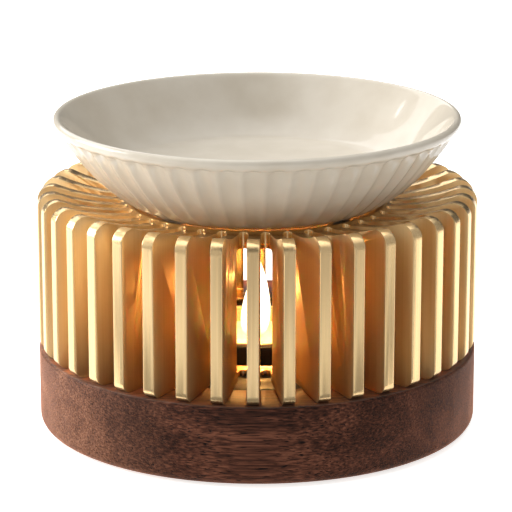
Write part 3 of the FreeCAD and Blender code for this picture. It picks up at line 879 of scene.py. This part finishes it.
# %% Flame and its light
FLAME_BOTTOM = wick_high.z - 3.2 * MM
FLAME_TOP = 44.5 * MM
FLAME_HEIGHT = FLAME_TOP - FLAME_BOTTOM
FLAME_MIDDLE = (FLAME_BOTTOM + FLAME_TOP) / 2
FLAME_RADIUS = 4.0 * MM
FLAME_FULLNESS = 2.1
FLAME_FOOT_POWER = 0.35
FLAME_TIP_POWER = 0.9
FLAME_LEAN = (-0.9 * MM, 0.8 * MM)
FLAME_RINGS = 24
FLAME_STEPS = 32
FLAME_TINTS = [(0.0, "#F7A23C"), (0.25, "#FFE9B8"), (0.8, "#FFF3D2"), (1.0, "#FFD08A")]
FLAME_BRIGHTNESS = 4.0
FLAME_COLOUR = "#FFB862"
LAMP_SHARE = 0.8
LAMP_RADIUS = 8 * MM
LAMP_POWER = 0.04
GLOW_RADIUS = 3 * MM
GLOW_POWER = 0.06


def flame_finish():
    """A black body that only glows, orange at the foot and pale above it."""
    material, tree, shader, place = new_material("candle_flame")
    height = add(tree, "ShaderNodeSeparateXYZ", {"Vector": place})
    share = add(tree, "ShaderNodeMapRange", {
        "Value": height.outputs["Z"], "From Min": FLAME_BOTTOM, "From Max": FLAME_TOP})
    glow = add(tree, "ShaderNodeValToRGB", {"Fac": share.outputs["Result"]})
    ramp_stops(glow, FLAME_TINTS)
    fill(tree, shader, {
        "Base Color": colour(BLACK), "Roughness": 1.0, "Emission Color": glow.outputs["Color"],
        "Emission Strength": FLAME_BRIGHTNESS})
    return material


def flame_lean(share):
    """How far the flame leans to the right at a share of its height."""
    return FLAME_LEAN[0] + (FLAME_LEAN[1] - FLAME_LEAN[0]) * share


def flame_lamp(flame, name, radius, power, shines):
    """A lamp in the flame. One that does not shine lights only matt surfaces."""
    bpy.ops.object.select_all(action="DESELECT")
    bpy.ops.object.light_add(type="POINT", radius=radius)
    lamp = bpy.context.active_object
    lamp.name = name
    lamp.visible_glossy = shines
    lamp.data.color = colour(FLAME_COLOUR)[:3]
    lamp.data.energy = power
    lamp.location = (0, 0, FLAME_BOTTOM + LAMP_SHARE * FLAME_HEIGHT)
    lamp.parent = flame


def make_flame():
    """A ball drawn out to the flame's height, whose rings are then sized and leaned."""
    bpy.ops.object.select_all(action="DESELECT")
    bpy.ops.mesh.primitive_uv_sphere_add(segments=FLAME_STEPS, ring_count=FLAME_RINGS, radius=FLAME_RADIUS)
    piece = bpy.context.active_object
    piece.name = piece.data.name = "flame"
    bpy.ops.object.mode_set(mode="EDIT")
    bpy.ops.mesh.select_all(action="SELECT")
    bpy.ops.transform.resize(value=(1, 1, FLAME_HEIGHT / (2 * FLAME_RADIUS)))
    bpy.ops.transform.translate(value=(0, 0, FLAME_MIDDLE))
    for ring in range(FLAME_RINGS + 1):
        share = (1 - math.cos(math.pi * ring / FLAME_RINGS)) / 2
        level = FLAME_BOTTOM + FLAME_HEIGHT * share
        pick(piece, lambda point: abs(point.z - level) < NEAR)
        if 0 < ring < FLAME_RINGS:
            wanted = FLAME_FULLNESS * share ** FLAME_FOOT_POWER * (1 - share) ** FLAME_TIP_POWER
            width = wanted / (2 * math.sqrt(share * (1 - share)))
            bpy.ops.transform.resize(value=(width, width, 1), center_override=(0, 0, level))
        bpy.ops.transform.translate(value=(flame_lean(share), 0, 0))
    close_up()
    smooth_by(piece, 180)
    piece.data.materials.append(flame_finish())
    piece.visible_shadow = piece.visible_glossy = False
    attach(piece, "tealight")
    flame_lamp(piece, "flame_light", LAMP_RADIUS, LAMP_POWER, shines=True)
    flame_lamp(piece, "flame_glow", GLOW_RADIUS, GLOW_POWER, shines=False)
    print("flame:", round(FLAME_HEIGHT / MM, 1), "mm tall with two lamps inside")


make_flame()

# %% [markdown]
# ## Paper and cards
#
# The photograph has a white floor that runs out of view. Its paper glows a little, as
# strongly lit paper does, but lights nothing itself, so that a second sheet under it
# can send up light that is stronger at the left. A card on the table and a wall far in
# front are seen only in reflections: photographers use such cards to put grey into
# polished metal.

# %% Floor, bounce, card and wall
FLOOR_SIZE = 8.0
PAPER_WHITE = "#F1F0EE"
PAPER_ROUGHNESS = 0.9
PAPER_GLOW = 0.85
BOUNCE_LEFT = 2.2
BOUNCE_RIGHT = 1.15
BOUNCE_REACH = 0.25
BOUNCE_DROP = 1 * MM
CARD_SIZE = 1.6
CARD_GAP = 4 * MM
CARD_LIFT = 0.2 * MM
# The card's axes, the places between which its glow changes, and the glow at both
CARD_FADES = (("X", (-0.25, -0.04), (1.0, 0.55)),
              ("Y", (-0.125, -0.095), (1.0, 0.25)),
              ("Y", (-0.3, -0.14), (0.8, 1.9)))
WALL_DISTANCE = 1.3
WALL_WIDTH = 4.0
WALL_HEIGHT = 0.85
WALL_GLOW = 0.55


def stage_plane(name, size, material, hidden_from, **placing):
    """A plane of the studio that some kinds of rays don't see."""
    bpy.ops.object.select_all(action="DESELECT")
    bpy.ops.mesh.primitive_plane_add(size=size, **placing)
    plane = bpy.context.active_object
    plane.name = name
    plane.data.materials.append(material)
    for rays in hidden_from:
        setattr(plane, "visible_" + rays, False)
    return plane


def glowing(name, code):
    """A material that reflects nothing and glows in one colour."""
    material, tree, shader, place = new_material(name)
    fill(tree, shader, {
        "Base Color": colour(BLACK), "Roughness": 1.0, "Emission Color": colour(code)})
    return material, tree, shader, place


def white_paper():
    """Lit paper, just short of white."""
    material, tree, shader, place = new_material("white_paper")
    fill(tree, shader, {
        "Base Color": colour(PAPER_WHITE), "Roughness": PAPER_ROUGHNESS,
        "Emission Color": colour(PAPER_WHITE), "Emission Strength": PAPER_GLOW})
    return material


def bounce_paper():
    """Paper that sends up more light at the left than at the right."""
    material, tree, shader, place = glowing("grey_paper", PAPER_WHITE)
    across = add(tree, "ShaderNodeSeparateXYZ", {"Vector": place})
    glow = add(tree, "ShaderNodeMapRange", {
        "Value": across.outputs["X"], "From Min": -BOUNCE_REACH, "From Max": 0.0,
        "To Min": BOUNCE_LEFT, "To Max": BOUNCE_RIGHT})
    tree.links.new(glow.outputs["Result"], shader.inputs["Emission Strength"])
    return material


def card_paper():
    """Grey card that is brighter towards the left and darkest next to the object."""
    material, tree, shader, place = glowing("grey_card", WHITE)
    axes = add(tree, "ShaderNodeSeparateXYZ", {"Vector": place})
    glow = 1.0
    for axis, (first, last), (glow_first, glow_last) in CARD_FADES:
        fade = add(tree, "ShaderNodeMapRange", {
            "Value": axes.outputs[axis], "From Min": first, "From Max": last,
            "To Min": glow_first, "To Max": glow_last})
        glow = add(tree, "ShaderNodeMath", {0: glow, 1: fade.outputs["Result"]},
                   operation="MULTIPLY").outputs["Value"]
    tree.links.new(glow, shader.inputs["Emission Strength"])
    return material


def wall_paint():
    """An evenly lit grey wall."""
    material, tree, shader, place = glowing("grey_wall", WHITE)
    fill(tree, shader, {"Emission Strength": WALL_GLOW})
    return material


stage_plane("studio_floor", FLOOR_SIZE, white_paper(), ["diffuse"])
stage_plane("studio_bounce", FLOOR_SIZE, bounce_paper(), ["camera", "glossy", "shadow"],
            location=(0, 0, -BOUNCE_DROP))
card = stage_plane("grey_card", CARD_SIZE, card_paper(), ["camera", "diffuse", "shadow"])
bpy.ops.object.mode_set(mode="EDIT")
bpy.ops.mesh.select_all(action="SELECT")
bpy.ops.transform.translate(value=(0, -CARD_SIZE / 2 - cad_box[1].x - CARD_GAP, CARD_LIFT))
only(card)
wall = stage_plane("grey_wall", WALL_WIDTH, wall_paint(), ["camera", "diffuse", "shadow"],
                   rotation=(TURN / 4, 0, 0), location=(0, -WALL_DISTANCE, WALL_HEIGHT / 2))
wall.scale = (1, WALL_HEIGHT / WALL_WIDTH, 1)
print("studio: floor, bounce sheet, grey card and grey wall")

# %% [markdown]
# ## Sky and lamps
#
# The large soft light of the photograph comes from the left and above, and the room in
# front is darker, which the fins' faces mirror. The sky here is that room: white above
# and to the left, greyer to the right, and dark low down in front and behind, with one
# dark patch high up in front. Two large soft boxes at the left throw the shadows.

# %% Sky
# The sky's strength at its left and right, and how far out the change goes
SKY_SIDES = (0.82, 0.46)
SKY_SIDE_REACH = 0.8
# Each band of the sky by two axes of the view direction: where it starts and is full on
# each, and the share of the light that is left where it is full
SKY_BANDS = (("Y", (-0.3, -0.9), (0.5, 0.25), 0.05),
             ("Y", (0.2, 0.7), (0.65, 0.45), 0.14))
DARK_PATCH_WAY = (0.0, -0.57, 0.82)
DARK_PATCH_SPAN = (0.9, 0.97)
DARK_PATCH_SHARE = 0.12
OVERHEAD_SPAN = (0.72, 0.95)
OVERHEAD_GAIN = 3.2


def sky_light():
    """A room that is bright above, greyer to the right and dark low in front and behind."""
    world = bpy.data.worlds.new("studio_room")
    scene.world = world
    world.use_nodes = True
    tree = world.node_tree
    tree.nodes.clear()
    way = add(tree, "ShaderNodeTexCoord").outputs["Generated"]
    axes = add(tree, "ShaderNodeSeparateXYZ", {"Vector": way})
    side = add(tree, "ShaderNodeMapRange", {
        "Value": axes.outputs["X"], "From Min": -SKY_SIDE_REACH, "From Max": SKY_SIDE_REACH,
        "To Min": SKY_SIDES[0], "To Max": SKY_SIDES[1]})
    shares = []
    for axis, (start, full), (high, low), kept_share in SKY_BANDS:
        outward = add(tree, "ShaderNodeMapRange", {
            "Value": axes.outputs[axis], "From Min": start, "From Max": full})
        downward = add(tree, "ShaderNodeMapRange", {
            "Value": axes.outputs["Z"], "From Min": high, "From Max": low})
        both = add(tree, "ShaderNodeMath", {
            0: outward.outputs["Result"], 1: downward.outputs["Result"]}, operation="MULTIPLY")
        shares.append(add(tree, "ShaderNodeMapRange", {
            "Value": both.outputs["Value"], "To Min": 1.0, "To Max": kept_share}))
    toward = add(tree, "ShaderNodeVectorMath", {0: way, 1: DARK_PATCH_WAY}, operation="DOT_PRODUCT")
    shares.append(add(tree, "ShaderNodeMapRange", {
        "Value": toward.outputs["Value"],
        "From Min": DARK_PATCH_SPAN[0], "From Max": DARK_PATCH_SPAN[1],
        "To Min": 1.0, "To Max": DARK_PATCH_SHARE}))
    shares.append(add(tree, "ShaderNodeMapRange", {
        "Value": axes.outputs["Z"], "From Min": OVERHEAD_SPAN[0], "From Max": OVERHEAD_SPAN[1],
        "To Min": 1.0, "To Max": OVERHEAD_GAIN}))
    strength = side.outputs["Result"]
    for share in shares:
        strength = add(tree, "ShaderNodeMath", {0: strength, 1: share.outputs["Result"]},
                       operation="MULTIPLY").outputs["Value"]
    back = add(tree, "ShaderNodeBackground", {"Color": colour(WHITE), "Strength": strength})
    out = add(tree, "ShaderNodeOutputWorld")
    tree.links.new(back.outputs["Background"], out.inputs["Surface"])


sky_light()
print("sky:", len(SKY_BANDS), "dark bands and one dark patch")


# %% Soft boxes
def soft_box(name, azimuth, elevation, distance, width, height, power):
    """A rectangular lamp that hangs in a direction and faces the object."""
    bpy.ops.object.select_all(action="DESELECT")
    bpy.ops.object.light_add(type="AREA")
    lamp = bpy.context.active_object
    lamp.name = name
    lamp.data.shape = "RECTANGLE"
    lamp.data.size = width
    lamp.data.size_y = height
    lamp.data.energy = power
    aim(lamp, CAMERA_TARGET + from_angles(math.radians(azimuth), math.radians(elevation), distance),
        CAMERA_TARGET)


soft_box("key_box", azimuth=-100, elevation=22, distance=1.4, width=0.9, height=0.7, power=17)
soft_box("back_box", azimuth=-155, elevation=33, distance=1.5, width=1.2, height=0.75, power=5)
scene.view_settings.view_transform = "Standard"
scene.view_settings.look = "None"
print("lamps: two soft boxes and the two in the flame")
